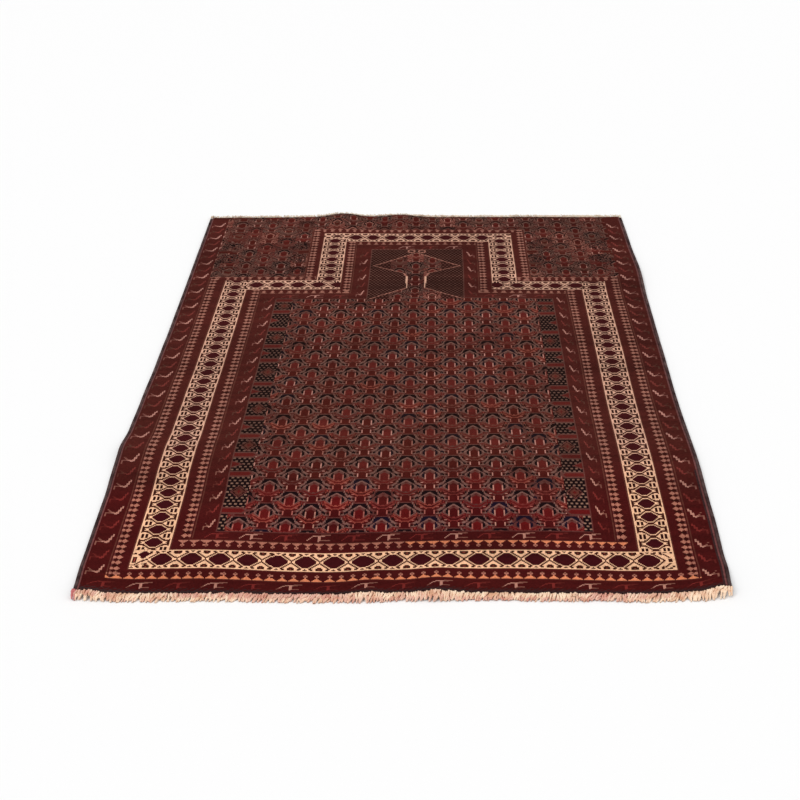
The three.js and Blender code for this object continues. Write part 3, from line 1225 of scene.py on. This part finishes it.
# Goat hair: dark, slightly glossy, each wrap a little different
def hair_material():
    material, tree, shader = new_material("goat_hair", roughness=0.85)
    colour = mottled(tree, 45, 3, (0.35, 0.7), HAIR_COLOURS)
    surface(tree, shader, colour, noise(tree, 1800, 3), 0.5, 0.6 * MM)
    return material


# Warp ends: undyed cream yarn, in patches of painted shade and painted highlight
def warp_material(name, painted_shade, painted_highlight):
    material, tree, shader = new_material(name, roughness=0.95)
    # The mottle runs between a painted shade colour and a painted highlight colour of the strands
    cream = mottled(tree, 70, 4, (0.3, 0.58), (painted_shade, painted_highlight))
    stained = mix_colour(tree, "MIX", attribute(tree, "stain"), cream, linear(STAIN_COLOUR))
    surface(tree, shader, stained, noise(tree, 2200, 3), 0.5, 0.5 * MM)
    return material


def add_camera():
    yaw, pitch, roll = (math.radians(a) for a in (CAMERA_YAW, CAMERA_PITCH, CAMERA_ROLL))
    level = math.cos(pitch)
    forward = Vector((math.sin(yaw) * level, math.cos(yaw) * level, -math.sin(pitch)))
    right = Vector((math.cos(yaw), -math.sin(yaw), 0))
    up = right.cross(forward)
    turned_right = math.cos(roll) * right + math.sin(roll) * up
    turned_up = math.cos(roll) * up - math.sin(roll) * right
    data = bpy.data.cameras.new("camera")
    data.sensor_width = SENSOR
    data.lens = CAMERA_FOCAL_SHARE * SENSOR
    camera = linked("camera", data)
    spot = Vector(CAMERA_SPOT) + Vector((SHIFT_X, SHIFT_Y, 0))
    axes = Matrix((turned_right, turned_up, -forward)).transposed().to_4x4()
    camera.matrix_world = Matrix.Translation(spot) @ axes
    bpy.context.scene.camera = camera


# A broad, even lamp from one side
def add_light(name, spot, softness, strength):
    data = bpy.data.lights.new(name, "SUN")
    data.angle = math.radians(softness)
    data.energy = strength
    light = linked(name, data)
    light.location = spot
    light.rotation_mode = "QUATERNION"
    light.rotation_quaternion = (-Vector(spot)).to_track_quat("-Z", "Y")


def add_floor():
    mesh = bpy.data.meshes.new("floor")
    reach = 30
    corners = [(-reach, -reach, 0), (reach, -reach, 0), (reach, reach, 0), (-reach, reach, 0)]
    mesh.from_pydata(corners, [], [(0, 1, 2, 3)])
    material, _, shader = new_material("floor", roughness=0.9)
    shader.inputs["Base Color"].default_value = (0.94, 0.94, 0.94, 1)
    mesh.materials.append(material)
    linked("floor", mesh)


def add_studio():
    scene = bpy.context.scene
    scene.view_settings.view_transform = "Standard"
    world = bpy.data.worlds.new("studio")
    world.use_nodes = True
    background = world.node_tree.nodes["Background"]
    background.inputs["Color"].default_value = (1, 1, 1, 1)
    background.inputs["Strength"].default_value = 0.55
    scene.world = world
    add_light("key", (-1.6, -1.6, 3.2), softness=40, strength=1.5)
    add_light("fill", (2.4, -0.6, 2.6), softness=60, strength=0.5)


random = np.random.default_rng(11)
chart = rug_chart(random)

# Dye lots, painted sheen and tones: a fifth of the way up the wool turns browner, partly a later dye
# lot and partly painted sheen, and each few rows differ
knot_row, knot_column = KNOTS
later_lot_and_sheen_share = (knot_row - LATER_LOT_AND_SHEEN_ROW) / LATER_LOT_AND_SHEEN_BLEND
lot_and_sheen = np.clip(later_lot_and_sheen_share + LOT_AND_SHEEN_UNEVENNESS * soft_noise(chart.shape, 30, 60, random), 0, 1)
tone = np.zeros(chart.shape)
for strength, cell_rows, cell_columns in TONE_LAYERS:
    tone += strength * soft_noise(chart.shape, cell_rows, cell_columns, random)
tone += TONE_BY_KNOT * random.uniform(-1, 1, chart.shape)

# The right side's wool is a little darker below the shoulder
darker = np.clip((knot_column - 350) / 30, 0, 1) * np.clip((knot_row - 220) / 60, 0, 1)
tone -= RIGHT_SIDE_DARKER * darker * np.clip((530 - knot_row) / 20, 0, 1)

pile_wool = wool_material("wool_pile", tone_gain=0.5, bump_strength=0.5)
back_wool = wool_material("wool_back", tone_gain=0.4, bump_strength=0.3)
hair = hair_material()
near_warp = warp_material("warp_yarn", *NEAR_WARP_COLOURS)
far_warp = warp_material("warp_yarn_far", *FAR_WARP_COLOURS)

add_camera()
add_floor()
add_studio()

heights = pile_heights(chart, random)
# The share of the later colours per knot: a later dye lot with painted sheen mixed in
knots = {"yarn": chart + 0.5, "tone": tone, "dye_lot_and_sheen": lot_and_sheen}
pile = pile_sections(knots, heights, pile_wool)
back = foundation(knots, back_wool)
left_selvedge = selvedge("selvedge_wrap_left", -1, random, hair)
right_selvedge = selvedge("selvedge_wrap_right", 1, random, hair)
near_fringe = fringe("warp_ends_near", -1, NEAR_FRINGE, random, near_warp)
far_fringe = fringe("warp_ends_far", 1, FAR_FRINGE, random, far_warp)

for piece in [*pile, back]:
    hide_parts("rug_body")
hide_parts("selvedge_left")
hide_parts("selvedge_right")
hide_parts("fringe_near")
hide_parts("fringe_far")
others = [*pile, left_selvedge, right_selvedge, near_fringe, far_fringe]
for piece in [back, *others]:
    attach(piece, "root")
